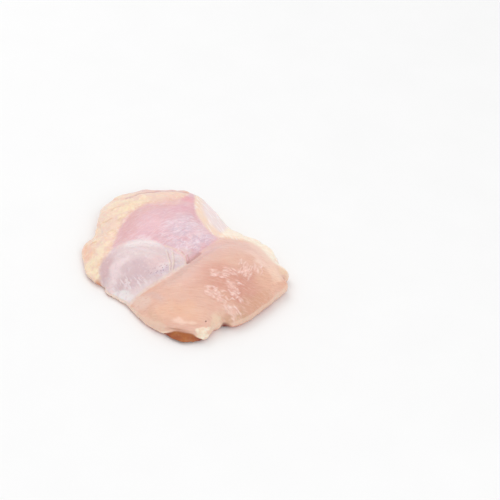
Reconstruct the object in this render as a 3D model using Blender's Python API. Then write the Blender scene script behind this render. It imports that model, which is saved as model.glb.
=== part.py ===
"""A raw chicken thigh, boned and skinned, lying smooth side up on a flat surface.

It is one solid. Its plan is a polar outline, its top is a crown that carries the muscle
bellies and the seams between them, its rim is a soft rolled edge, and its underside is flat
where it rests, with the trough that the bone left. X runs to its thick end, Y to its back
and Z up. The origin is the middle of its base.
"""

import math
from collections import namedtuple

import bmesh
import bpy
import numpy as np

MM = 0.001

Belly = namedtuple("Belly", "middle half_length half_width turn height")
Seam = namedtuple("Seam", "path half_width")
Nick = namedtuple("Nick", "angle half_angle depth")
Fold = namedtuple("Fold", "angle half_angle level half_level depth")

# Driving dimensions, in millimetres and degrees. Angles run from +X towards +Y.
# Each ring has a value every 15 degrees.
OUTLINE_RADII = (
    60.5, 52.5, 46.5, 39.5, 42.0, 50.5, 62.5, 67.5,
    72.0, 73.0, 64.0, 62.0, 60.0, 55.0, 46.5, 43.0,
    46.0, 51.0, 54.0, 56.0, 54.0, 54.5, 55.0, 59.0,
)
RIM_TOPS = (
    8.5, 11.0, 14.0, 15.5, 15.5, 15.0, 14.0, 13.0,
    12.0, 10.0, 7.5, 5.5, 5.0, 5.0, 5.0, 5.0,
    5.5, 7.5, 9.5, 8.5, 8.5, 8.0, 8.0, 8.5,
)
RIM_ROLLS = (
    5.0, 6.0, 7.0, 7.5, 8.0, 8.0, 8.0, 8.0,
    7.5, 7.0, 5.0, 4.0, 3.5, 3.5, 3.5, 3.5,
    3.5, 4.0, 5.0, 5.0, 5.0, 5.0, 5.0, 5.0,
)
# A negative depth stands out from the edge.
EDGE_NICKS = (
    Nick(28, 5, -1.5),
    Nick(152, 5, 1.5),
    Nick(201, 4, 3.5),
    Nick(285, 4, -1.0),
    Nick(300, 4, 3.5),
    Nick(355, 3, 2.0),
)
NICK_SHARPNESS = 10
# A fold runs round the side of the edge. Its level is -1 at the base and 1 at the top.
EDGE_FOLDS = (
    Fold(271, 11, 0.0, 0.3, 2.5),
    Fold(273, 9, -0.6, 0.4, -5.0),
)

CROWN_HEIGHT = 20.5
CROWN_SLOPE_BACK = 0.03
CROWN_FULLNESS = 3.0
ROLL_ANGLE_ABOVE = 58
ROLL_ANGLE_BELOW = 75

BELLIES = (
    Belly((-14, 20), 36, 24, -25, 3.8),
    Belly((24, -16), 44, 30, 32, 5.0),
    Belly((-23, -11), 27, 15, -14, 3.2),
)
# Each knot of a path is its place in plan and its depth there.
SEAMS = (
    Seam(((-52, -16, 0.5), (-43, -2.5, 1.1), (-31, 3, 1), (-20, 3.5, 0.8), (-9, -3.5, 1.2), (1, -14, 2)), 6),
    Seam(((1, -14, 2), (-5, -21, 2), (-13, -25.5, 1.6), (-22, -27, 1.4), (-33, -23, 1), (-46, -17, 0.5)), 6),
    Seam(((1, -14, 2), (6, -8.5, 3), (12, -1, 2.6), (20, 7.5, 1.8), (29, 12.5, 1.2), (38, 16.5, 0.2)), 6.5),
    Seam(((-47, -8, 0.2), (-41, 9, 0.8), (-37, 22, 1), (-30.5, 34, 1), (-17, 41, 0.7), (-4, 50, 0.2)), 7),
    Seam(((1, 46, 0.2), (4, 34.5, 0.8), (8, 23.5, 0.9), (15, 14.5, 0.9), (25, 12, 0.6)), 6),
)
BONE_TROUGH = Seam(((-38, 34, 0.5), (-18, 12, 3), (8, -8, 3), (34, -24, 0.5)), 14)

CUTS_ACROSS = 47
CUTS_DOWN = 7
CURVE_STEPS = 12
# Turns the box so that its upright edges meet the rim away from the nicks.
CAGE_TURN = 30


def blend(before, first, second, after, share):
    """The smooth curve between first and second, at a share of the way."""
    return first + 0.5 * share * (
        second - before
        + share * (2 * before - 5 * first + 4 * second - after)
        + share**2 * (3 * (first - second) + after - before)
    )


def ring(values, angle):
    """A smooth closed curve through values spaced evenly round the circle."""
    table = np.asarray(values, float)
    count = len(table)
    at = np.mod(angle, 2 * math.pi) / (2 * math.pi) * count
    start = np.floor(at).astype(int)
    corners = (table[(start + step) % count] for step in (-1, 0, 1, 2))
    return blend(*corners, at - start)


def smooth_path(points):
    """A smooth open curve through the points, as short straight pieces."""
    knots = np.array([points[0], *points, points[-1]], float)
    shares = np.linspace(0, 1, CURVE_STEPS, endpoint=False)[:, None]
    pieces = [blend(*knots[i : i + 4], shares) for i in range(len(knots) - 3)]
    return np.concatenate(pieces + [knots[-1:]])


def seam_depth(seam, x, y):
    """How deep the seam is at each point in plan."""
    line = smooth_path(seam.path)
    places = np.stack([x, y], 1)
    depth = np.zeros(len(places))
    nearest = np.full(len(places), np.inf)
    for start, end in zip(line[:-1], line[1:]):
        step = end[:2] - start[:2]
        along = np.clip((places - start[:2]) @ step / (step @ step), 0, 1)
        away = np.hypot(*(places - start[:2] - along[:, None] * step).T)
        closer = away < nearest
        nearest = np.where(closer, away, nearest)
        depth = np.where(closer, start[2] + along * (end[2] - start[2]), depth)
    return depth * dip(nearest, seam.half_width)


def dip(distance, half_width):
    """1 on the line, falling smoothly to 0 at half_width and staying there."""
    return np.clip(1 - (distance / half_width) ** 2, 0, 1) ** 2


def belly_rise(belly, x, y):
    turn = math.radians(belly.turn)
    dx, dy = x - belly.middle[0], y - belly.middle[1]
    along = dx * math.cos(turn) + dy * math.sin(turn)
    across = dy * math.cos(turn) - dx * math.sin(turn)
    return belly.height * dip(np.hypot(along / belly.half_length, across / belly.half_width), 1)


def bump_round(angle, middle, half_angle):
    """1 at the middle angle, dying away within a few half angles to either side."""
    away = (angle - math.radians(middle) + math.pi) % (2 * math.pi) - math.pi
    return np.exp(-((away / math.radians(half_angle)) ** 2))


def edge_relief(angle, reach, level):
    """What the nicks and folds take off the radius."""
    relief = 0
    for nick in EDGE_NICKS:
        relief = relief + nick.depth * bump_round(angle, nick.angle, nick.half_angle)
    for fold in EDGE_FOLDS:
        around = bump_round(angle, fold.angle, fold.half_angle)
        relief = relief + fold.depth * around * np.exp(-(((level - fold.level) / fold.half_level) ** 2))
    return relief * reach**NICK_SHARPNESS


def top_height(x, y, reach, rim):
    crown = CROWN_HEIGHT + CROWN_SLOPE_BACK * y
    height = rim + (crown - rim) * (1 - reach**CROWN_FULLNESS)
    for belly in BELLIES:
        height = height + belly_rise(belly, x, y)
    return height - np.max([seam_depth(seam, x, y) for seam in SEAMS], axis=0)


def round_off(u, v):
    """The square made round: how far out each point lands, and its angle.

    The middle keeps an even grid, and towards the edge the rows become rings.
    """
    square = np.maximum(abs(u), abs(v))
    to_side = math.pi / 4 / np.maximum(square, 1e-9)
    around = np.arctan2(np.tan(v * to_side), np.tan(u * to_side))
    grid = np.stack([u * np.sqrt(1 - v**2 / 2), v * np.sqrt(1 - u**2 / 2)])
    rings = square * np.stack([np.cos(around), np.sin(around)])
    x, y = grid + square**2 * (rings - grid)
    return np.hypot(x, y), np.arctan2(y, x) + math.radians(CAGE_TURN)


def thigh_points(cage):
    """Where each point (u, v, w) of the box, from -1 to 1, goes on the thigh."""
    u, v, w = cage.T
    reach, angle = round_off(u, v)
    above, below = math.radians(ROLL_ANGLE_ABOVE), math.radians(ROLL_ANGLE_BELOW)
    tilt = w * np.where(w > 0, above, below)
    radius = reach * (ring(OUTLINE_RADII, angle) - ring(RIM_ROLLS, angle) * (1 - np.cos(tilt)))
    radius = radius - edge_relief(angle, reach, w)
    x, y = radius * np.cos(angle), radius * np.sin(angle)
    base = seam_depth(BONE_TROUGH, x, y)
    top = top_height(x, y, reach, ring(RIM_TOPS, angle))
    share = (np.sin(tilt) + math.sin(below)) / (math.sin(above) + math.sin(below))
    return np.stack([x, y, base + (top - base) * share], 1)


def box_cage():
    """A cube from -1 to 1, cut into a grid on every side."""
    cage = bmesh.new()
    bmesh.ops.create_cube(cage, size=2)
    for axis, cuts in ((2, CUTS_DOWN), (0, CUTS_ACROSS), (1, CUTS_ACROSS)):
        along = [e for e in cage.edges if abs(e.verts[0].co[axis] - e.verts[1].co[axis]) > 1]
        bmesh.ops.subdivide_edges(cage, edges=along, cuts=cuts, use_grid_fill=True)
    return cage


def raw_meat():
    material = bpy.data.materials.new("raw_meat")
    material.use_nodes = True
    shader = material.node_tree.nodes["Principled BSDF"]
    shader.inputs["Base Color"].default_value = (0.83, 0.53, 0.42, 1)
    shader.inputs["Roughness"].default_value = 0.3
    shader.inputs["Metallic"].default_value = 0
    return material


def build():
    for obj in list(bpy.data.objects):
        bpy.data.objects.remove(obj)
    cage = box_cage()
    points = thigh_points(np.array([v.co for v in cage.verts]))
    middle = (points.min(0) + points.max(0)) / 2
    middle[2] = points[:, 2].min()
    for vert, point in zip(cage.verts, points):
        vert.co = (point - middle) * MM
    mesh = bpy.data.meshes.new("chicken_thigh")
    cage.to_mesh(mesh)
    cage.free()
    mesh.shade_smooth()
    mesh.materials.append(raw_meat())
    thigh = bpy.data.objects.new("chicken_thigh", mesh)
    parts = bpy.data.collections.new("raw_chicken_thigh")
    bpy.context.scene.collection.children.link(parts)
    parts.objects.link(thigh)


build()
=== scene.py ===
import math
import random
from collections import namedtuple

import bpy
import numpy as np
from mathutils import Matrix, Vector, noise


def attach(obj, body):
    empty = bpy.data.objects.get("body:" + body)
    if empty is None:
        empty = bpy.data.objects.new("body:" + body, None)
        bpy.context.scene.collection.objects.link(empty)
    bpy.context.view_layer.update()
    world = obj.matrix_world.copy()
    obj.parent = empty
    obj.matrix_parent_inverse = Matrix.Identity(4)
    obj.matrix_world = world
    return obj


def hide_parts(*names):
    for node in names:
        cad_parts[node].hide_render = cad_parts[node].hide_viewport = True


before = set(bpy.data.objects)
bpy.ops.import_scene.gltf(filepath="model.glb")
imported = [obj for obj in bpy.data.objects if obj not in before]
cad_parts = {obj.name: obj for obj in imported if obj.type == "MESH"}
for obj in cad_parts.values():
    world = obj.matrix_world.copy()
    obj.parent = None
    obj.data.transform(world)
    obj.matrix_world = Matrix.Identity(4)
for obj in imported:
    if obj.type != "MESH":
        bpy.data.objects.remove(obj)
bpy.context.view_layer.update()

# A raw chicken thigh, boned and skinned but for a scrap of brown skin under its front
# edge, lying smooth side up on a pale floor.
# Places, sizes and heights are in millimetres and turns in degrees, unless a name or a
# comment says otherwise. X runs to the right, Y to the back and Z up.
# The tissues are the pink middle lobe, the small oval muscle, the broad peach lobe, the
# fat round the left and back, and the strip of tendon sheet at the right of the back.

MM = 0.001
BODY = "root"
NODE = "chicken_thigh"

# The camera looks down by the first angle and leans to the side by the second.
CAMERA_PLACE = (37.17, -711.90, 614.13)
CAMERA_BELOW_LEVEL = 39.885
CAMERA_ROLL = 3.684
CAMERA_LENS = 117.13
CAMERA_SENSOR = 36.0

# Lights that look at the thigh, with places and sizes in metres and powers in watts.
Light = namedtuple("Light", "name place size power")
LIGHTS = (
    Light("key", (-0.5, 0.6, 1.1), 0.9, 3.8),
    Light("fill", (0.5, -0.8, 0.9), 1.0, 3),
)
SKY_STRENGTH = 0.8
FLOOR_SIZE_M = 6

VOXEL = 0.4
SMOOTHING_STEPS = 12
CURVE_STEPS = 10

# Lines where one tissue gives way to the next, and the folds and creases on them.
CREASE = ((2, -17), (5, -10.5), (10.5, -3.2), (15.5, 3), (19, 8), (22, 12))
SLIT = ((2.8, -14.8), (4.5, -12.6), (6.6, -9.8), (8.8, -6.6))
OVAL_FRONT = (
    (2, -17), (-3.1, -21.6), (-9.3, -26.6), (-18.4, -30.4), (-24.5, -33.4), (-30, -38),
)
OVAL_BACK = (
    (-51, -18), (-49, -10), (-43, -2), (-36.1, 1.6), (-30.6, 3.1), (-20.2, 1.9), (-9.7, -3.9),
    (-2.8, -8.4), (1.6, -14.7),
)
FAT_FRONT = (
    (-49, -17.7), (-48.5, -11.4), (-43.1, -3.6), (-40, 10.9), (-38.3, 17), (-32.4, 29.3),
    (-25.6, 36.4), (-19.4, 38.8), (-14, 41.5), (-7, 45), (-2, 53),
)
STRIP_FRONT = (
    (2, 57), (2.4, 46), (2.8, 38), (4.8, 29), (7.4, 23), (11, 16.6), (15.6, 11.4), (22, 9.6),
    (37, 13),
)
BORDER_FRONT = (
    (20, 10.5), (27, 11.5), (36, 11.5), (42, 8.5), (46.5, 4), (49.5, 0), (53, -2), (62, -3),
)
BACK_FOLD = ((-38, 46), (-30.4, 51.3), (-19.4, 54.9), (-11, 55.2), (-2, 54.7))
OVAL_FOLDS = (
    ((-10.3, -5.7), (-9.2, -10), (-8.4, -13.8), (-7.2, -18.5), (-7, -22.5)),
    ((-7, -5.8), (-6, -11), (-5.4, -17), (-5.7, -22)),
)
OVAL_PLEATS = (
    ((-9.3, -6.5), (-8.4, -10), (-7.6, -13.8), (-6.4, -18.5), (-6.3, -22)),
    ((-6.2, -7), (-5.2, -11), (-4.7, -17), (-5, -21.5)),
)
MEMBRANE_EDGE = ((-11, -2.6), (-5, -5.2), (-1, -8.6), (1.1, -12), (1.5, -16))
AMBER_LINES = (
    ((-1.5, -7.2), (0.2, -9.6), (1.7, -12), (2.9, -14.8)),
    ((2.2, -9.5), (3.2, -11.5), (3.4, -13.5)),
)
WRINKLES = (
    ((-50.3, 28.2), (-48.2, 27.4), (-45, 27.8)),
    ((-40.5, 23.3), (-38.5, 24.6), (-36.7, 24.5)),
    ((-45.5, 14.5), (-43.5, 15.5), (-42.5, 15.2)),
    ((-52, 14.2), (-50.5, 14.9), (-48.8, 14.3)),
    ((-55.2, 8.9), (-53.8, 9.8), (-52.2, 9.5)),
    ((-46, 36), (-44, 37.6), (-41, 37.8)),
)

# The lines that the survey measures the distance to, in sets.
LINE_SETS = {
    "crease": [CREASE],
    "slit": [SLIT],
    "oval_front": [OVAL_FRONT],
    "fold": OVAL_FOLDS,
    "pleat": OVAL_PLEATS,
    "membrane": [MEMBRANE_EDGE],
    "amber": AMBER_LINES,
    "wrinkle": WRINKLES,
    "back_fold": [BACK_FOLD],
}

# Spots on the surface, with their heights.
SPOTS = {
    "spot": (15.6, -52.6, 10),
    "stain": (-35.2, 46.2, 15),
    "front_notch": (26.4, -47, 1.2),
    "side_notch": (58.6, -8.6, 6),
    "corner": (-50.5, -19, 2.2),
}

# Where the rim stands out in plan from its general run, and where it falls back.
Knob = namedtuple("Knob", "middle half_width push")
KNOBS = (
    Knob((37, 19), 5.0, -2.4),
    Knob((48, 12), 4.0, 1.8),
    Knob((55.5, 1.8), 3.4, -2.6),
    Knob((59.6, -4.8), 2.6, 0.2),
    Knob((59.3, -8.6), 1.7, -2.2),
    Knob((58.5, -13.5), 2.8, 1.0),
    Knob((54, -23), 4.0, -0.6),
    Knob((26, -46.8), 2.5, -1.2),
    Knob((22, -53.8), 4.2, -3.2),
    Knob((-49.5, -20.8), 4.5, -2.6),
    Knob((-54, -14.5), 5.0, -2.6),
    Knob((-59.3, -4), 8.0, -2.6),
    Knob((-55, 18.5), 5.0, -3.3),
    Knob((-54, 33), 9.0, -0.6),
    Knob((-47.5, 48), 3.5, -2.0),
)

# Soft-edged areas: the lit crown and the fine lines of the broad lobe, the specks and the
# pale teeth of the oval muscle, the film and the blotches of the middle lobe, and the fat
# tip and the bulge at the front edge.
Blob = namedtuple("Blob", "middle half_length half_width turn")
AREAS = {
    "shine": [Blob((29, -28), 16, 11, -20)],
    "lines": [Blob((46, -20), 15, 9, 25)],
    "speckle": [Blob((-12, -22), 6, 3, 18)],
    "teeth": [Blob((-28, -25.5), 10, 2.4, -12)],
    "veil": [Blob((-2, 13), 14, 9, 45)],
    "blotches": [Blob((3.5, 1), 13, 5.5, 32)],
    "tip": [Blob((13, -58.6), 4, 1.6, 14), Blob((17.6, -56.8), 2, 0.8, 35)],
    "bulge": [Blob((3, -60), 10.5, 6, 0)],
}

# Soft patches of colour, each in one tissue, or over all of them where none is named; a few are
# painted highlights and painted shade, as noted. A tone is the colour as it looks on screen, 0 to
# 255.
Tint = namedtuple("Tint", "tissue middle half_length half_width turn strength tone")
TINTS = (
    Tint("middle", (-34, 13), 14, 6, 75, 0.85, (224, 175, 175)),
    Tint("middle", (-27, 28), 9, 6, 40, 0.75, (226, 173, 168)),
    Tint("middle", (-14, 36), 9, 5, 20, 0.8, (226, 166, 165)),
    Tint("middle", (-6, 30.5), 7, 3.5, 30, 0.7, (227, 166, 178)),
    Tint("middle", (5, 29), 12, 3, 108, 0.85, (226, 170, 175)),
    Tint("middle", (-2, 14), 12, 8, 45, 0.7, (226, 204, 213)),
    Tint("middle", (-2, 9), 6, 3, 12, 0.6, (214, 194, 206)),
    Tint("middle", (10, 5), 8, 4, 42, 0.6, (223, 204, 215)),
    Tint("middle", (6, -5), 4.5, 2.5, 50, 0.7, (212, 178, 187)),
    Tint("middle", (1, -7), 4, 2.6, -50, 0.7, (222, 201, 197)),
    Tint("middle", (-10, 1), 7, 2.5, -30, 0.5, (217, 182, 188)),
    Tint("middle", (0, -1), 9, 3.4, 15, 0.65, (228, 206, 214)),
    Tint("middle", (9, 14), 7, 4, 60, 0.5, (240, 215, 219)),
    Tint("middle", (4.5, 21.5), 4, 2.6, 120, 0.6, (226, 170, 173)),
    Tint("middle", (6, 6), 4, 2.5, 45, 0.5, (246, 228, 228)),
    Tint("oval", (-44.5, -12.5), 8.5, 4, 68, 0.9, (212, 176, 178)),
    Tint("oval", (-39, -3.5), 5, 3, 50, 0.5, (222, 194, 197)),
    Tint("oval", (-36.5, -16.5), 6.5, 3, 60, 0.9, (240, 217, 219)),
    # The pale sheath along the oval muscle's top, partly a painted highlight.
    Tint("oval", (-25, -0.5), 12, 3, -4, 0.8, (240, 228, 227)),
    Tint("oval", (-23.5, -7.5), 6, 1.8, -6, 0.6, (237, 217, 219)),
    Tint("", (-23.5, 3.6), 5, 1.8, -4, 0.6, (240, 218, 221)),
    Tint("", (-36.5, 0.5), 3.6, 2.6, 30, 0.5, (222, 186, 182)),
    Tint("oval", (-15, -8.5), 7, 4, -50, 0.5, (222, 202, 201)),
    Tint("oval", (-24.5, -21), 9, 6, -6, 0.75, (213, 183, 188)),
    Tint("oval", (-25, -12), 8, 1.6, -8, 0.6, (219, 197, 194)),
    Tint("oval", (-13.5, -16), 6.5, 3.6, 10, 0.8, (227, 196, 195)),
    Tint("oval", (-10, -22.5), 8, 1.6, 20, 0.6, (208, 190, 203)),
    Tint("oval", (-2, -14), 5, 3, 70, 0.6, (217, 194, 193)),
    Tint("oval", (-33, -30), 7, 2.8, -33, 0.95, (235, 228, 227)),
    Tint("oval", (-32, -24.5), 4, 2.4, -10, 0.55, (206, 176, 178)),
    Tint("broad", (1, -25.5), 14, 4.5, 35, 0.6, (216, 177, 165)),
    Tint("broad", (5, -14), 9, 3, 45, 0.5, (222, 186, 178)),
    Tint("broad", (-21, -38.5), 5.5, 3.4, -40, 0.6, (234, 209, 197)),
    Tint("broad", (31, -34), 4.5, 3, 0, 0.75, (207, 150, 131)),
    # Painted shade along the crease, higher up than the slit.
    Tint("broad", (16, -3), 7, 3, 42, 0.5, (226, 189, 192)),
    Tint("broad", (30, 2), 14, 8, 12, 0.6, (233, 192, 181)),
    Tint("broad", (0, -48), 15, 5, -5, 0.6, (239, 191, 161)),
    Tint("broad", (24, -29), 14, 10, -15, 0.75, (214, 152, 135)),
    Tint("broad", (38, -26), 11, 8, -65, 0.65, (214, 152, 136)),
    Tint("broad", (49, -18), 10, 6.5, 65, 0.6, (236, 189, 163)),
    Tint("broad", (38, -38), 9, 4.5, 45, 0.7, (210, 158, 133)),
    Tint("broad", (30, -41.3), 3.6, 1.8, 15, 0.6, (236, 196, 183)),
    # A painted highlight on the broad lobe near its back border.
    Tint("broad", (44.5, -8), 3.6, 2.4, 30, 0.75, (248, 217, 203)),
    Tint("broad", (42, -4), 7, 3.6, -10, 0.6, (246, 210, 196)),
    Tint("broad", (50.5, -10), 5, 4, 60, 0.75, (250, 216, 197)),
    # Painted light on the slope along the back border, which falls away from the lamps.
    Tint("broad", (45, 2), 12, 3.4, -42, 0.6, (246, 212, 194)),
    Tint("broad", (37, -43), 5, 2, 20, 0.85, (206, 162, 136)),
    Tint("broad", (26, -38.5), 6, 3.5, -20, 0.5, (222, 174, 149)),
    Tint("broad", (46, -31), 8, 4, 55, 0.6, (217, 165, 136)),
    Tint("broad", (-14, -37.5), 6, 2, -35, 0.6, (221, 186, 178)),
    Tint("broad", (9, -30), 8, 4, 40, 0.6, (223, 175, 159)),
    Tint("broad", (-12.5, -49), 6, 1.6, -45, 0.6, (221, 179, 154)),
    # Two painted highlights on the front rim above the bulge.
    Tint("broad", (2.1, -53.6), 3.6, 1.2, 0, 0.75, (251, 217, 199)),
    Tint("broad", (8.5, -53.8), 2.6, 1.1, 10, 0.6, (248, 215, 195)),
    Tint("", (21.8, -51), 6, 3.2, 57, 0.7, (238, 212, 184)),
    Tint("", (31, -45.5), 4.5, 2.4, 15, 0.7, (212, 174, 145)),
    Tint("", (53, -12), 4.6, 2.6, 82, 0.55, (248, 216, 192)),
    Tint("", (57.5, -4.5), 3.5, 2.8, 0, 0.9, (239, 207, 178)),
    Tint("", (58, -13.5), 3.6, 2.6, 75, 0.7, (228, 178, 153)),
    Tint("fat", (-57.5, 4), 8, 3, 85, 0.85, (243, 194, 167)),
    Tint("fat", (-52, -10), 8, 4.5, -55, 0.65, (248, 227, 192)),
    Tint("fat", (-46, 21), 10, 4, 65, 0.7, (240, 207, 192)),
    Tint("fat", (-52, 40), 10, 4, 75, 0.6, (243, 219, 205)),
    Tint("fat", (-33, 37.5), 11, 3.6, 38, 0.6, (248, 224, 186)),
    Tint("fat", (-30, 47), 9, 3, 10, 0.4, (241, 207, 198)),
    Tint("fat", (-10, 48), 12, 5, 4, 0.8, (241, 203, 189)),
    Tint("fat", (-20, 57), 22, 3.2, 2, 0.8, (227, 186, 186)),
    Tint("fat", (-36, 55), 6, 3, 30, 0.5, (226, 197, 198)),
    Tint("", (-13, 40.5), 11, 4.2, 14, 0.9, (236, 193, 185)),
    Tint("", (-1, 45), 4, 3.4, 120, 0.9, (232, 160, 165)),
)

# Patches of fine strands in the film over the broad lobe, pale partly in their own colour and
# partly as painted highlights. Their turn changes by the fan, in degrees for each millimetre to
# the side.
StrandPatch = namedtuple("StrandPatch", "middle reach breadth turn fan count")
STRANDS = (
    StrandPatch((20.5, -25.5), 4.5, 2.2, 0, 6, 18),
    StrandPatch((26, -23.5), 3.5, 2.5, 5, 0, 13),
    StrandPatch((35, -18), 4, 4, 74, 0, 30),
    StrandPatch((42.5, -14.5), 2.5, 2.2, -82, 0, 12),
    StrandPatch((30, -28.8), 4, 1.6, 8, 0, 12),
    StrandPatch((28.5, -32), 3.5, 1.8, -15, 0, 12),
    StrandPatch((19, -36.5), 4.5, 3, -10, 8, 26),
    StrandPatch((31, -35), 3, 2, 5, 0, 10),
    StrandPatch((28.5, -42), 4.5, 3, -38, 0, 18),
)
STRAND_SEED = 5
STRAND_HALF_LENGTHS = (1.0, 3.0)
STRAND_HALF_WIDTHS = (0.35, 0.7)
STRAND_STRENGTHS = (0.5, 1)
STRAND_TURN_SPREAD = 10
STRAND_BOW = 0.8
# How far the painted shade and the shallow groove beside each strand sit from it.
STRAND_SHADE_OFFSET = (-0.2, 0.75)

# Relief along lines and round spots: how far it stands out, and how far to each side.
Groove = namedtuple("Groove", "fact height half_width")
GROOVES = (
    Groove("slit", -0.5, 0.9),
    Groove("amber", -0.25, 0.6),
    Groove("oval_front", -0.12, 0.9),
    Groove("fold", 0.2, 0.5),
    Groove("pleat", -0.15, 0.5),
    Groove("wrinkle", -0.25, 0.6),
    Groove("back_fold", -0.4, 0.9),
    Groove("spot", -0.3, 0.7),
    Groove("stain", -0.3, 1.0),
)

# Lumpy relief all over, and inside areas: how high it is and the size of its lumps.
Swell = namedtuple("Swell", "height size seed")
SWELLS = (
    Swell(0.35, 16, 2),
    Swell(0.14, 7, 3),
    Swell(0.03, 1.8, 11),
)
LumpyArea = namedtuple("LumpyArea", "fact height size seed turn stretch")
LUMPY_AREAS = (
    LumpyArea("teeth", 0.15, 1.3, 17, 75, 3),
    LumpyArea("shine", 0.15, 3, 7, -30, 2),
    LumpyArea("veil", 0.08, 1.5, 8, 30, 4),
    LumpyArea("blotches", 0.16, 1.8, 12, 0, 1),
    LumpyArea("speckle", 0.08, 1.2, 13, 0, 1),
)

# Heights and depths of the rest of the relief, and how far in the rim's relief runs.
BROAD_SHOULDER = 0.5
OVAL_SHOULDER = 0.12
CREASE_DEPTH = 0.25
FAT_RISE = 0.3
FAT_LUMP = 0.6
FAT_GRAIN = 0.12
STRIP_RISE = 0.3
STRIP_LUMP = 0.15
STRAND_RISE = 0.25
STRAND_SHADE_DEPTH = 0.15
RIM_LUMP = 0.35
RIM_GRAIN = 0.15
ROLLED_RISE = 0.25
NOTCH_FILL = 1.2
TIP_RISE = 0.3
TIP_LUMP = 0.6
UNDERCUT = 0.6
BASE_HOLLOW = 1.2
RIM_WIDTH = 3

# How high the lip of the rim hangs over the underside: all round, at the bulge and at the
# left corner.
LIP_HEIGHT = 0.8
BULGE_LIP_RISE = 4.2
CORNER_LIP_RISE = 1.5

# Marks over all the tissues, in the order that they are laid on: how far each reaches, how
# strong it is, and its tone.
Mark = namedtuple("Mark", "fact reach strength tone")
MARKS = (
    # The slit's mark is painted shade in the crease.
    Mark("slit", 1.7, 0.6, (184, 133, 132)),
    Mark("amber", 0.7, 0.45, (200, 152, 138)),
    Mark("fold", 0.6, 0.55, (240, 221, 203)),
    Mark("pleat", 0.6, 0.4, (204, 172, 160)),
    Mark("membrane", 0.9, 0.5, (234, 212, 194)),
    Mark("stain", 2.0, 0.6, (202, 146, 136)),
    Mark("front_notch", 4.2, 0.95, (116, 30, 28)),
    Mark("side_notch", 1.8, 0.7, (205, 140, 112)),
    Mark("corner", 3.1, 0.7, (212, 146, 104)),
    Mark("spot", 0.8, 0.85, (120, 62, 52)),
)

# The middle that the edge's angles are taken from, and the sectors that its outline is
# read in.
EDGE_POLE = (0.15, -3.59)
EDGE_SECTOR = 2
# How wide the pale edge is, every 15 degrees from +X towards +Y, and the least it counts as.
EDGE_WIDTHS = (
    1.5, 1.0, 1.0, 0.8, 0.5, 0.5, 0.5, 0.5, 0.5, 0.5, 0.5, 0.5,
    0.5, 0.5, 0.5, 0.6, 1.0, 1.6, 1.6, 1.2, 0.6, 0.5, 0.5, 0.8,
)
LEAST_EDGE_WIDTH = 0.4


def blend(before, first, second, after, share):
    """The smooth curve between first and second, at a share of the way."""
    return first + 0.5 * share * (
        second - before
        + share * (2 * before - 5 * first + 4 * second - after)
        + share**2 * (3 * (first - second) + after - before)
    )


def smooth_path(points):
    """A smooth open curve through the points, as short straight pieces."""
    knots = np.array([points[0], *points, points[-1]], float)
    shares = np.linspace(0, 1, CURVE_STEPS, endpoint=False)[:, None]
    pieces = [blend(*knots[i : i + 4], shares) for i in range(len(knots) - 3)]
    return np.concatenate(pieces + [knots[-1:]])


def ring(values, angle):
    """A smooth closed curve through values spaced evenly round the circle."""
    table = np.asarray(values, float)
    count = len(table)
    at = np.mod(angle, 2 * math.pi) / (2 * math.pi) * count
    start = np.floor(at).astype(int)
    corners = (table[(start + step) % count] for step in (-1, 0, 1, 2))
    return blend(*corners, at - start)


def distance_to(line, places):
    """How far each place in plan is from the line of short pieces."""
    nearest = np.full(len(places), np.inf)
    for start, end in zip(line[:-1], line[1:]):
        step = end - start
        along = np.clip((places - start) @ step / (step @ step), 0, 1)
        nearest = np.minimum(nearest, np.hypot(*(places - start - along[:, None] * step).T))
    return nearest


def distance_to_any(lines, places):
    return np.min([distance_to(line, places) for line in lines], axis=0)


def depth_inside(loop, places):
    """How far each place is inside the closed line, and less than 0 outside it."""
    x, y = places.T
    inside = np.zeros(len(places), bool)
    for (x0, y0), (x1, y1) in zip(loop, np.roll(loop, -1, axis=0)):
        if y0 != y1:
            inside ^= ((y0 > y) != (y1 > y)) & (x < x0 + (y - y0) / (y1 - y0) * (x1 - x0))
    away = distance_to(np.concatenate([loop, loop[:1]]), places)
    return np.where(inside, away, -away)


def step_up(value, start, end):
    """0 below start, 1 above end, smooth between."""
    share = np.clip((value - start) / (end - start), 0, 1)
    return share * share * (3 - 2 * share)


def ridge(distance, half_width):
    """1 at no distance, dying away within a few half widths."""
    return np.exp(-((distance / half_width) ** 2))


def along_and_across(offsets, turn):
    """How far each offset reaches along a direction at that angle, and across it."""
    angle = math.radians(turn)
    dx, dy = offsets.T
    return dx * math.cos(angle) + dy * math.sin(angle), dy * math.cos(angle) - dx * math.sin(angle)


def blob_share(blob, places):
    """1 well inside the blob, a half on its outline, 0 well outside it."""
    along, across = along_and_across(places - blob.middle, blob.turn)
    return 1 - step_up(np.hypot(along / blob.half_length, across / blob.half_width), 0.5, 1.5)


def lumps(points, size, seed, turn=0, stretch=1):
    """Smooth noise from -1 to 1 with lumps of that size, drawn out along a turned X. Each
    use has a seed of its own."""
    along, across = along_and_across(points[:, :2], turn)
    places = np.stack([along / stretch, across, points[:, 2]], 1) / size + seed * 7.31
    return np.array([noise.noise(Vector(place)) for place in places])


def bent(points, push, size, seed):
    """The points' places in plan, pushed about so that what is drawn on them runs uneven."""
    aside = np.stack([lumps(points, size, seed), lumps(points, size, seed + 1)], 1)
    return points[:, :2] + push * aside


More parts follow.
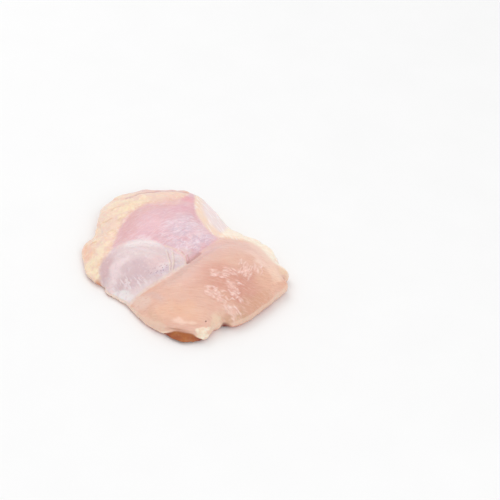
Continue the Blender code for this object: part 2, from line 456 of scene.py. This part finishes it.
def strand_share(places):
    """How strongly each place lies on one of the fine strands, which taper to their ends."""
    dice = random.Random(STRAND_SEED)
    share = np.zeros(len(places))
    for patch in STRANDS:
        for _ in range(patch.count):
            reach = patch.reach * dice.uniform(-1, 1)
            aside = patch.breadth * dice.uniform(-1, 1)
            turn = patch.fan * aside + dice.gauss(0, STRAND_TURN_SPREAD)
            along, across = along_and_across(places - patch.middle, patch.turn)
            along, across = along_and_across(np.stack([along - reach, across - aside], 1), turn)
            out = along / dice.uniform(*STRAND_HALF_LENGTHS)
            taper = np.clip(1 - out**2, 0, 1)
            across = across - dice.uniform(-STRAND_BOW, STRAND_BOW) * out**2
            width = dice.uniform(*STRAND_HALF_WIDTHS) * (0.4 + 0.6 * taper)
            share = np.maximum(share, dice.uniform(*STRAND_STRENGTHS) * taper * ridge(across, width))
    return share


def fine_copy(node, name):
    """The CAD node's shape as an even, fine mesh of quads."""
    piece = bpy.data.objects.new(name, node.data.copy())
    bpy.context.scene.collection.objects.link(piece)
    remesh = piece.modifiers.new("Remesh", "REMESH")
    remesh.mode = "VOXEL"
    remesh.voxel_size = VOXEL * MM
    smooth = piece.modifiers.new("Smooth", "SMOOTH")
    smooth.iterations = SMOOTHING_STEPS
    bpy.context.view_layer.update()
    shaped = piece.evaluated_get(bpy.context.evaluated_depsgraph_get())
    mesh = bpy.data.meshes.new_from_object(shaped)
    piece.modifiers.clear()
    piece.data = mesh
    mesh.shade_smooth()
    return piece


def read_points(mesh):
    """The mesh's points in millimetres and its normals."""
    points = np.empty(len(mesh.vertices) * 3, np.float32)
    mesh.vertices.foreach_get("co", points)
    normals = np.empty(len(mesh.vertices) * 3, np.float32)
    mesh.vertex_normals.foreach_get("vector", normals)
    return points.reshape(-1, 3).astype(float) / MM, normals.reshape(-1, 3).astype(float)


def closed_outlines():
    """The tissues' areas in plan. Each runs past the thigh's own edge."""
    fat = [*FAT_FRONT, (-5, 75), (-50, 75), (-80, 40), (-80, -20), (-60, -26)]
    oval = [*OVAL_BACK, *OVAL_FRONT, (-52, -36)]
    broad = [
        *reversed(OVAL_FRONT), *CREASE[1:], (40, 14), (75, 12), (75, -70), (-20, -85), (-40, -60),
    ]
    strip = [*STRIP_FRONT, (60, 30), (60, 60), (0, 80)]
    border = [*BORDER_FRONT, (75, -3), (75, 30), (30, 30)]
    loops = {"fat": fat, "oval": oval, "broad": broad, "strip": strip, "border": border}
    return {name: smooth_path([*loop, loop[0]])[:-1] for name, loop in loops.items()}


def edge_gap(places):
    """How far in from the thigh's edge each place is, and its angle from the middle."""
    dx, dy = (places - EDGE_POLE).T
    angle = np.arctan2(dy, dx)
    radius = np.hypot(dx, dy)
    sector = np.floor(np.degrees(angle) % 360 / EDGE_SECTOR).astype(int)
    farthest = np.zeros(360 // EDGE_SECTOR)
    np.maximum.at(farthest, sector, radius)
    middles = np.radians((np.arange(len(farthest)) + 0.5) * EDGE_SECTOR)
    outline = np.interp(np.mod(angle, 2 * math.pi), middles, farthest, period=2 * math.pi)
    return outline - radius, angle


def survey(points, normals):
    """Which tissue each point belongs to and what lies near it, as named numbers: depths and
    distances in millimetres, shares from 0 to 1, and the colour of the soft patches."""
    places = points[:, :2]
    facts = {name: depth_inside(loop, places) for name, loop in closed_outlines().items()}
    facts["middle"] = -np.max(list(facts.values()), axis=0)
    for name, lines in LINE_SETS.items():
        facts[name] = distance_to_any([smooth_path(line) for line in lines], places)
    for name, spot in SPOTS.items():
        facts[name] = np.linalg.norm(points - spot, axis=1)
    uneven = bent(points, 2.0, 6, 21) + bent(points, 0.6, 2.5, 23) - places
    for name, blobs in AREAS.items():
        facts[name] = np.max([blob_share(blob, uneven) for blob in blobs], axis=0)
    wavy = bent(points, 0.8, 2.2, 25)
    facts["strand"] = strand_share(wavy)
    facts["strand_shade"] = strand_share(wavy + STRAND_SHADE_OFFSET)
    survey_rim(facts, points, normals)
    facts["tint_share"], facts["tint"] = tint_layer(uneven, facts)
    return facts


def toward_front(points):
    """1 along the front of the thigh, 0 behind its middle."""
    return step_up(-points[:, 1], 10, 25)


def survey_rim(facts, points, normals):
    """Adds how near each point is to the rim, its lip and its rolled edge, and which points
    face up or lie under the lip."""
    facts["gap"], angle = edge_gap(points[:, :2])
    facts["edge"] = facts["gap"] / np.maximum(ring(EDGE_WIDTHS, angle), LEAST_EDGE_WIDTH)
    facts["top"] = step_up(normals[:, 2], -0.1, 0.35)
    hang = LIP_HEIGHT + BULGE_LIP_RISE * facts["bulge"] + CORNER_LIP_RISE * ridge(facts["corner"], 3)
    facts["lip"] = points[:, 2] - hang
    on_lip = ridge(facts["lip"] - 0.8, 0.8)
    facts["rolled"] = toward_front(points) * ridge(facts["gap"], RIM_WIDTH) * on_lip
    below_lip = 1 - step_up(facts["lip"], -0.6, 0.4)
    facts["under"] = np.maximum(below_lip, step_up(-normals[:, 2], 0.3, 0.6))


def tint_layer(places, facts):
    """The soft patches laid one on another: how much they cover, and their colour."""
    share, colour = np.zeros(len(places)), np.zeros((len(places), 3))
    for tint in TINTS:
        cover = tint.strength * blob_share(tint, places)
        if tint.tissue:
            cover = cover * step_up(facts[tint.tissue], -1, 1.5)
        share += cover * (1 - share)
        colour += cover[:, None] * (np.array(paint(*tint.tone)[:3]) - colour)
    return share, colour / np.maximum(share, 0.001)[:, None]


def upper_relief(points, facts):
    """How far the upper side's points move out, in millimetres."""
    in_fat = step_up(facts["fat"] + 1.2 * lumps(points, 5, 1), -0.8, 1.2)
    in_strip = step_up(facts["strip"], -0.5, 1.5)
    in_broad = step_up(facts["broad"], -0.6, 0.6)
    lift = sum(swell.height * lumps(points, swell.size, swell.seed) for swell in SWELLS)
    shoulder = ridge(facts["broad"] - 1.5, 4) * step_up(points[:, 0], -30, 0)
    lift += BROAD_SHOULDER * in_broad * shoulder
    lift -= CREASE_DEPTH * ridge(facts["crease"], 1.0) * step_up(40 - points[:, 0], 0, 25)
    lift += OVAL_SHOULDER * ridge(facts["oval"] - 0.6, 0.7) * step_up(points[:, 0], -40, -30)
    fat_lumps = FAT_LUMP * lumps(points, 3.5, 4, -40, 2.5) + FAT_GRAIN * lumps(points, 2.2, 5)
    lift += in_fat * (FAT_RISE + fat_lumps)
    lift += in_strip * (STRIP_RISE + STRIP_LUMP * lumps(points, 4, 6))
    lift += STRAND_RISE * facts["strand"] - STRAND_SHADE_DEPTH * facts["strand_shade"]
    for groove in GROOVES:
        lift += groove.height * ridge(facts[groove.fact], groove.half_width)
    for area in LUMPY_AREAS:
        lift += area.height * facts[area.fact] * lumps(points, *area[2:])
    return facts["top"] * lift


def rim_relief(points, facts):
    """How far the points of the rim move out, in millimetres."""
    rim = ridge(facts["gap"], RIM_WIDTH)
    lift = rim * (RIM_LUMP * lumps(points, 4, 10) + RIM_GRAIN * lumps(points, 1.8, 14))
    lift += NOTCH_FILL * ridge(facts["front_notch"], 1.8)
    lift += facts["tip"] * (TIP_RISE + TIP_LUMP * lumps(points, 2.2, 9))
    cut_in = rim * toward_front(points) * ridge(facts["lip"] + 0.7, 0.7)
    return lift + ROLLED_RISE * facts["rolled"] - UNDERCUT * cut_in


def rim_shift(places):
    """How far each place moves in plan, away from the middle or towards it."""
    outward = places - EDGE_POLE
    away = np.maximum(np.linalg.norm(outward, axis=1), 0.001)
    push = 0
    for knob in KNOBS:
        push = push + knob.push * ridge(np.hypot(*(places - knob.middle).T), knob.half_width)
    return outward * (push / away)[:, None]


def base_relief(points, facts):
    """How far the points of the base rise, in millimetres."""
    broad = np.maximum(lumps(points, 9, 15) + 0.1, 0)
    small = np.maximum(lumps(points, 3.5, 16, 40, 2), 0)
    return BASE_HOLLOW * (broad + 0.4 * small) * step_up(facts["gap"], 2, 8)


def sculpt(piece):
    """Works the relief into the mesh and keeps the survey on it for the material."""
    points, normals = read_points(piece.data)
    facts = survey(points, normals)
    off_floor = step_up(points[:, 2], 0.2, 1.5)
    lift = (upper_relief(points, facts) + rim_relief(points, facts)) * off_floor
    base = step_up(-normals[:, 2], 0.6, 0.9)
    points[:, :2] += rim_shift(points[:, :2])
    points += normals * lift[:, None]
    points[:, 2] = np.maximum(points[:, 2] + base * base_relief(points, facts), 0)
    piece.data.vertices.foreach_set("co", (points * MM).astype(np.float32).ravel())
    for name, numbers in facts.items():
        kind, field = ("FLOAT", "value") if numbers.ndim == 1 else ("FLOAT_VECTOR", "vector")
        layer = piece.data.attributes.new(name, kind, "POINT")
        layer.data.foreach_set(field, numbers.astype(np.float32).ravel())
    piece.data.update()


def paint(red, green, blue):
    """A colour given as it looks on screen, 0 to 255, as the shader's linear colour."""
    screen = np.array([red, green, blue]) / 255
    linear = np.where(screen <= 0.04045, screen / 12.92, ((screen + 0.055) / 1.055) ** 2.4)
    return (*linear, 1)


class Shading:
    """A material's node tree, with one short call for each kind of node."""

    def __init__(self, name):
        self.material = bpy.data.materials.new(name)
        self.material.use_nodes = True
        self.tree = self.material.node_tree
        self.shader = self.tree.nodes["Principled BSDF"]
        self.place = self.tree.nodes.new("ShaderNodeTexCoord").outputs["Object"]

    def feed(self, socket, value):
        if isinstance(value, bpy.types.NodeSocket):
            self.tree.links.new(value, socket)
        else:
            socket.default_value = value

    def fact(self, name, output="Fac"):
        """A number from the survey, or its colour."""
        node = self.tree.nodes.new("ShaderNodeAttribute")
        node.attribute_name = name
        return node.outputs[output]

    def math(self, kind, first, second=0.0):
        node = self.tree.nodes.new("ShaderNodeMath")
        node.operation = kind
        self.feed(node.inputs[0], first)
        self.feed(node.inputs[1], second)
        return node.outputs[0]

    def add(self, first, second):
        return self.math("ADD", first, second)

    def times(self, first, *others):
        for other in others:
            first = self.math("MULTIPLY", first, other)
        return first

    def ramp(self, value, start, end, low=0.0, high=1.0):
        node = self.tree.nodes.new("ShaderNodeMapRange")
        node.interpolation_type = "SMOOTHSTEP"
        for socket, given in zip(node.inputs, (value, start, end, low, high)):
            self.feed(socket, given)
        return node.outputs[0]

    def mix(self, share, first, second):
        node = self.tree.nodes.new("ShaderNodeMix")
        node.data_type = "RGBA"
        self.feed(node.inputs[0], share)
        self.feed(node.inputs[6], first)
        self.feed(node.inputs[7], second)
        return node.outputs[2]

    def turned(self, turn, stretch):
        """Places turned about Z, drawn out along the turned X and somewhat along Z."""
        node = self.tree.nodes.new("ShaderNodeMapping")
        node.vector_type = "TEXTURE"
        node.inputs["Rotation"].default_value = (0, 0, math.radians(turn))
        node.inputs["Scale"].default_value = (stretch, 1, 3)
        self.feed(node.inputs["Vector"], self.place)
        return node.outputs[0]

    def noise(self, size, detail=2.0, wander=0.0, place=None):
        """Noise from 0 to 1 with lumps of that size in millimetres."""
        node = self.tree.nodes.new("ShaderNodeTexNoise")
        self.feed(node.inputs["Vector"], place or self.place)
        node.inputs["Scale"].default_value = 1 / (size * MM)
        node.inputs["Detail"].default_value = detail
        node.inputs["Distortion"].default_value = wander
        return node.outputs["Fac"]

    def dots(self, spacing):
        """Distance from the nearest of many scattered dots, as a share of their spacing."""
        node = self.tree.nodes.new("ShaderNodeTexVoronoi")
        self.feed(node.inputs["Vector"], self.place)
        node.inputs["Scale"].default_value = 1 / (spacing * MM)
        return node.outputs["Distance"]

    def bump(self, height, distance):
        node = self.tree.nodes.new("ShaderNodeBump")
        node.inputs["Distance"].default_value = distance * MM
        self.feed(node.inputs["Height"], height)
        return node.outputs[0]


class Grain:
    """The noises that the tissues share."""

    def __init__(self, s):
        self.clouds = s.noise(9, 3)
        self.fine = s.noise(2.2, 4)
        self.wobble = s.add(s.add(s.noise(5), s.noise(1.4, 3)), -1.0)
        self.hatch = s.noise(0.95, 2, 0.6, s.turned(40, 5))
        self.cross = s.noise(0.95, 2, 0.6, s.turned(8, 4))
        self.streaks = s.noise(0.9, 3, 0.4, s.turned(-48, 5))
        self.fibres = s.noise(0.6, 3, 0.3, s.turned(-3, 12))
        self.lines = s.noise(0.6, 1, 0.2, s.turned(25, 25))
        self.sheet = s.noise(1.2, 2, 0.3, s.turned(-62, 8))
        self.pores = s.noise(0.7, 2)


def inside(s, grain, name, soft=1.0, reach=1.0):
    """1 inside the named area, with an edge that wanders."""
    return s.ramp(s.add(s.fact(name), s.times(grain.wobble, reach)), -soft, soft)


def middle_lobe(s, grain):
    """Pink, in soft clouds."""
    return s.mix(s.ramp(grain.clouds, 0.3, 0.7), paint(223, 177, 184), paint(231, 188, 193))


def film_over_middle(s, grain, colour):
    """Crossed streaks, pale and dull, and mottling near the crease."""
    hairs = s.ramp(s.math("MAXIMUM", grain.hatch, grain.cross), 0.5, 0.7)
    hairs = s.times(s.add(s.times(s.fact("veil"), 0.55), 0.3), hairs)
    colour = s.mix(hairs, colour, paint(244, 219, 226))
    grooves = s.times(s.ramp(grain.hatch, 0.47, 0.3), s.add(s.times(s.fact("veil"), 0.25), 0.35))
    colour = s.mix(grooves, colour, paint(216, 172, 184))
    dull = s.times(s.ramp(s.noise(3.2, 2, 0.8), 0.48, 0.62), s.fact("blotches"))
    colour = s.mix(s.times(dull, 0.6), colour, paint(208, 178, 192))
    spots = s.times(s.ramp(s.noise(2.6, 2, 0.6), 0.5, 0.64), s.fact("blotches"))
    return s.mix(s.times(spots, 0.6), colour, paint(243, 224, 231))


def oval_muscle(s, grain):
    """Dusky pink, in soft clouds."""
    return s.mix(s.ramp(grain.clouds, 0.35, 0.7), paint(225, 203, 204), paint(232, 211, 212))


def film_over_oval(s, grain, colour):
    """Pale slanting streaks at the front, a cloudy haze, and a few specks."""
    streaks = s.times(s.ramp(grain.streaks, 0.48, 0.62), s.fact("teeth"))
    colour = s.mix(s.times(streaks, 0.75), colour, paint(241, 227, 229))
    haze = s.times(s.ramp(grain.fine, 0.5, 0.7), s.ramp(s.fact("oval"), 0, 3))
    colour = s.mix(s.times(haze, 0.35), colour, paint(240, 224, 225))
    dull = s.ramp(s.noise(2.8, 3, 0.8), 0.47, 0.35)
    colour = s.mix(s.times(dull, 0.3), colour, paint(208, 180, 187))
    specks = s.times(s.ramp(s.dots(1.4), 0.36, 0.18), s.fact("speckle"))
    return s.mix(s.times(specks, 0.6), colour, paint(160, 116, 130))


def broad_lobe(s, grain):
    """Peach, with a cream glow towards its back border."""
    colour = s.mix(s.ramp(s.fact("crease"), 0, 22), paint(226, 186, 178), paint(228, 181, 161))
    colour = s.mix(s.times(s.ramp(grain.clouds, 0.35, 0.7), 0.4), colour, paint(233, 192, 176))
    return s.mix(s.times(s.ramp(s.fact("border"), -7, 0), 0.6), colour, paint(243, 213, 195))


def film_over_broad(s, grain, colour):
    """Fine fibres, faint lines to the right, and pale strands, partly painted highlights, with
    painted shade along one side of each.
    """
    colour = s.mix(s.times(s.ramp(grain.fibres, 0.5, 0.68), 0.3), colour, paint(242, 206, 189))
    colour = s.mix(s.times(s.ramp(grain.fibres, 0.44, 0.3), 0.38), colour, paint(212, 155, 134))
    lines = s.times(s.ramp(grain.lines, 0.5, 0.32), s.fact("lines"))
    colour = s.mix(s.times(lines, 0.4), colour, paint(212, 158, 136))
    broken = s.ramp(grain.fine, 0.35, 0.55, 0.55, 1.0)
    # Painted shade along one side of each strand, then the strands, pale partly as painted
    # highlights.
    colour = s.mix(s.times(s.fact("strand_shade"), broken, 0.45), colour, paint(210, 146, 130))
    return s.mix(s.times(s.fact("strand"), broken, 0.9), colour, paint(254, 223, 214))


def fat(s, grain):
    """Cream, in soft clouds, with pinker patches."""
    colour = s.mix(s.ramp(grain.clouds, 0.35, 0.62), paint(240, 210, 191), paint(246, 223, 196))
    patches = s.ramp(s.noise(3.6, 3, 0.8), 0.45, 0.68)
    return s.mix(s.times(patches, 0.7), colour, paint(238, 198, 180))


def grains_over_fat(s, grain, colour):
    """Pale, pink and ochre grains, darker flecks near the middle lobe, and the creases."""
    colour = s.mix(s.times(s.ramp(grain.fine, 0.5, 0.7), 0.5), colour, paint(251, 235, 207))
    pink = s.ramp(s.noise(5, 3, 1.0), 0.5, 0.62)
    colour = s.mix(s.times(pink, 0.5), colour, paint(237, 201, 189))
    ochre = s.ramp(s.noise(2.6, 3, 1.2, s.turned(-40, 2)), 0.44, 0.3)
    colour = s.mix(s.times(ochre, 0.5), colour, paint(236, 205, 168))
    near = s.ramp(s.fact("fat"), 3.5, 0.5)
    colour = s.mix(s.times(near, s.ramp(grain.fine, 0.55, 0.4), 0.6), colour, paint(230, 188, 152))
    line = s.ramp(s.add(s.fact("back_fold"), s.times(grain.wobble, 0.6)), 1.5, 0.2)
    colour = s.mix(s.times(line, 0.65), colour, paint(206, 162, 164))
    creases = s.ramp(s.add(s.fact("wrinkle"), s.times(grain.wobble, 0.7)), 1.0, 0.1)
    return s.mix(s.times(creases, 0.4), colour, paint(218, 174, 136))


def strip(s, grain):
    """A cool white sheet with streaks along it, between two cream borders."""
    inward = s.ramp(s.fact("strip"), 2.5, 6.5)
    colour = s.mix(inward, paint(243, 214, 191), paint(239, 219, 217))
    colour = s.mix(s.times(s.ramp(grain.sheet, 0.5, 0.66), 0.6), colour, paint(249, 241, 240))
    colour = s.mix(s.times(s.ramp(grain.sheet, 0.46, 0.3), 0.35), colour, paint(226, 211, 216))
    return s.mix(s.times(s.ramp(s.fact("gap"), 4.5, 1.5), 0.9), colour, paint(246, 229, 208))


def underside(s, grain):
    """Redder lean meat with pale film on it, and the brown skin of the bulge."""
    patches = s.ramp(s.noise(7, 4, 0.5), 0.35, 0.65)
    colour = s.mix(patches, paint(214, 140, 122), paint(228, 172, 152))
    colour = s.mix(s.times(s.ramp(grain.fibres, 0.5, 0.7), 0.35), colour, paint(238, 196, 178))
    film = s.ramp(s.noise(11, 3, 1.0), 0.56, 0.68)
    colour = s.mix(s.times(film, 0.6), colour, paint(240, 216, 200))
    skin = s.mix(s.ramp(s.fact("bulge"), 0.4, 1.0), paint(140, 42, 16), paint(172, 97, 32))
    skin = s.mix(s.times(s.ramp(grain.clouds, 0.45, 0.6), 0.6), skin, paint(150, 66, 26))
    skin = s.mix(s.times(s.ramp(grain.fine, 0.5, 0.7), 0.4), skin, paint(194, 133, 80))
    skin = s.mix(s.times(s.ramp(s.fact("lip"), -3.4, -4.8), 0.7), skin, paint(104, 50, 22))
    return s.mix(s.times(s.ramp(s.fact("bulge"), 0.05, 0.3), 0.95), colour, skin)


def tissue_shares(s, grain):
    """Where each tissue lies, from the bottom one up."""
    return {
        "oval": inside(s, grain, "oval", 0.9, 0.6),
        "broad": inside(s, grain, "broad", 1.6, 0.9),
        "fat": inside(s, grain, "fat", 2.2, 3.0),
        "strip": inside(s, grain, "strip", 1.2, 1.5),
        "border": inside(s, grain, "border", 2.0, 1.6),
    }


def whole_colour(s, grain):
    """The tissues, the soft patches, each tissue's own film, the strip, and edges and marks."""
    share = tissue_shares(s, grain)
    colour = s.mix(share["oval"], middle_lobe(s, grain), oval_muscle(s, grain))
    colour = s.mix(share["broad"], colour, broad_lobe(s, grain))
    colour = s.mix(share["fat"], colour, fat(s, grain))
    patches = s.times(s.fact("tint_share"), s.ramp(grain.fine, 0.3, 0.6, 0.8, 1.0))
    colour = s.mix(patches, colour, s.fact("tint", "Color"))
    films = film_over_middle(s, grain, colour)
    films = s.mix(share["oval"], films, film_over_oval(s, grain, colour))
    films = s.mix(share["broad"], films, film_over_broad(s, grain, colour))
    colour = s.mix(share["fat"], films, grains_over_fat(s, grain, colour))
    colour = s.mix(share["strip"], colour, strip(s, grain))
    return edges_and_marks(s, grain, colour, share["border"])


def edges_and_marks(s, grain, colour, border_share):
    """The pale borders, the rolled edge, the fat tip, the underside, and the marks."""
    pale = s.ramp(s.add(s.fact("oval_front"), s.times(grain.wobble, 1.2)), 2.0, 0.3)
    pale = s.times(pale, s.ramp(grain.fine, 0.35, 0.55, 0.35, 0.8))
    colour = s.mix(pale, colour, paint(233, 211, 199))
    border = s.mix(s.ramp(grain.fine, 0.4, 0.65), paint(250, 230, 210), paint(253, 238, 220))
    colour = s.mix(border_share, colour, border)
    # The pale edge and the rolled edge are cream margins, partly painted highlights along the rim.
    edge = s.ramp(s.add(s.fact("edge"), s.times(grain.wobble, 0.4)), 1.4, 0.5)
    colour = s.mix(s.times(edge, 0.5), colour, paint(239, 212, 190))
    colour = s.mix(s.times(s.fact("rolled"), 0.75), colour, paint(250, 226, 203))
    tip = s.ramp(s.add(s.fact("tip"), s.times(grain.wobble, 0.6)), 0.1, 0.9, 0, 0.8)
    tip_fat = s.mix(s.ramp(grain.fine, 0.4, 0.65), paint(242, 222, 197), paint(249, 238, 217))
    colour = s.mix(tip, colour, tip_fat)
    colour = s.mix(s.fact("under"), colour, underside(s, grain))
    for mark in MARKS:
        away = s.add(s.fact(mark.fact), s.times(grain.wobble, 0.4))
        cover = s.ramp(away, mark.reach, mark.reach * 0.25, 0, mark.strength)
        colour = s.mix(cover, colour, paint(*mark.tone))
    return colour


def wet_surface(s, grain):
    """Fine relief and the way the wet film shines."""
    height = s.add(s.times(grain.fibres, 0.5), s.times(grain.fine, 0.7))
    height = s.add(height, s.times(grain.pores, 0.25))
    height = s.add(height, s.times(grain.hatch, s.fact("veil"), 1.2))
    s.feed(s.shader.inputs["Normal"], s.bump(height, 0.3))
    roughness = s.ramp(s.add(grain.fine, grain.clouds), 0.6, 1.4, 0.34, 0.5)
    s.feed(s.shader.inputs["Roughness"], roughness)
    for socket, value in (
        ("Subsurface Weight", 0.2), ("Subsurface Scale", 0.003), ("Specular IOR Level", 0.4),
        ("Coat Weight", 0.4), ("Coat Roughness", 0.18), ("Coat IOR", 1.36),
    ):
        s.shader.inputs[socket].default_value = value
    s.shader.inputs["Subsurface Radius"].default_value = (1.0, 0.5, 0.35)


def raw_meat():
    s = Shading("raw_meat")
    grain = Grain(s)
    s.feed(s.shader.inputs["Base Color"], whole_colour(s, grain))
    wet_surface(s, grain)
    return s.material


def pale_floor():
    bpy.ops.mesh.primitive_plane_add(size=FLOOR_SIZE_M)
    floor = bpy.context.object
    floor.name = "floor"
    s = Shading("pale_floor")
    white = s.mix(s.noise(40), (0.9, 0.9, 0.9, 1), (0.93, 0.93, 0.93, 1))
    s.feed(s.shader.inputs["Base Color"], white)
    s.shader.inputs["Roughness"].default_value = 0.6
    floor.data.materials.append(s.material)


def hang_light(light):
    """A round area light that looks at the thigh."""
    disk = bpy.data.lights.new(light.name, "AREA")
    disk.shape = "DISK"
    disk.size = light.size
    disk.energy = light.power
    lamp = bpy.data.objects.new(light.name, disk)
    lamp.location = light.place
    lamp.rotation_euler = (-Vector(light.place)).to_track_quat("-Z", "Y").to_euler()
    bpy.context.scene.collection.objects.link(lamp)


def studio():
    scene = bpy.context.scene
    world = bpy.data.worlds.new("studio")
    world.use_nodes = True
    sky = world.node_tree.nodes["Background"]
    sky.inputs["Color"].default_value = (1, 1, 1, 1)
    sky.inputs["Strength"].default_value = SKY_STRENGTH
    scene.world = world
    scene.view_settings.view_transform = "Standard"
    for light in LIGHTS:
        hang_light(light)


def photo_camera():
    camera = bpy.data.cameras.new("camera")
    camera.lens = CAMERA_LENS
    camera.sensor_width = CAMERA_SENSOR
    holder = bpy.data.objects.new("camera", camera)
    place = Matrix.Translation(Vector(CAMERA_PLACE) * MM)
    look = Matrix.Rotation(math.radians(90 - CAMERA_BELOW_LEVEL), 4, "X")
    holder.matrix_world = place @ look @ Matrix.Rotation(math.radians(CAMERA_ROLL), 4, "Z")
    bpy.context.scene.collection.objects.link(holder)
    bpy.context.scene.camera = holder


def dress_thigh():
    thigh = fine_copy(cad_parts[NODE], "thigh_flesh")
    sculpt(thigh)
    thigh.data.materials.clear()
    thigh.data.materials.append(raw_meat())
    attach(thigh, BODY)
    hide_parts(NODE)


dress_thigh()
pale_floor()
studio()
photo_camera()
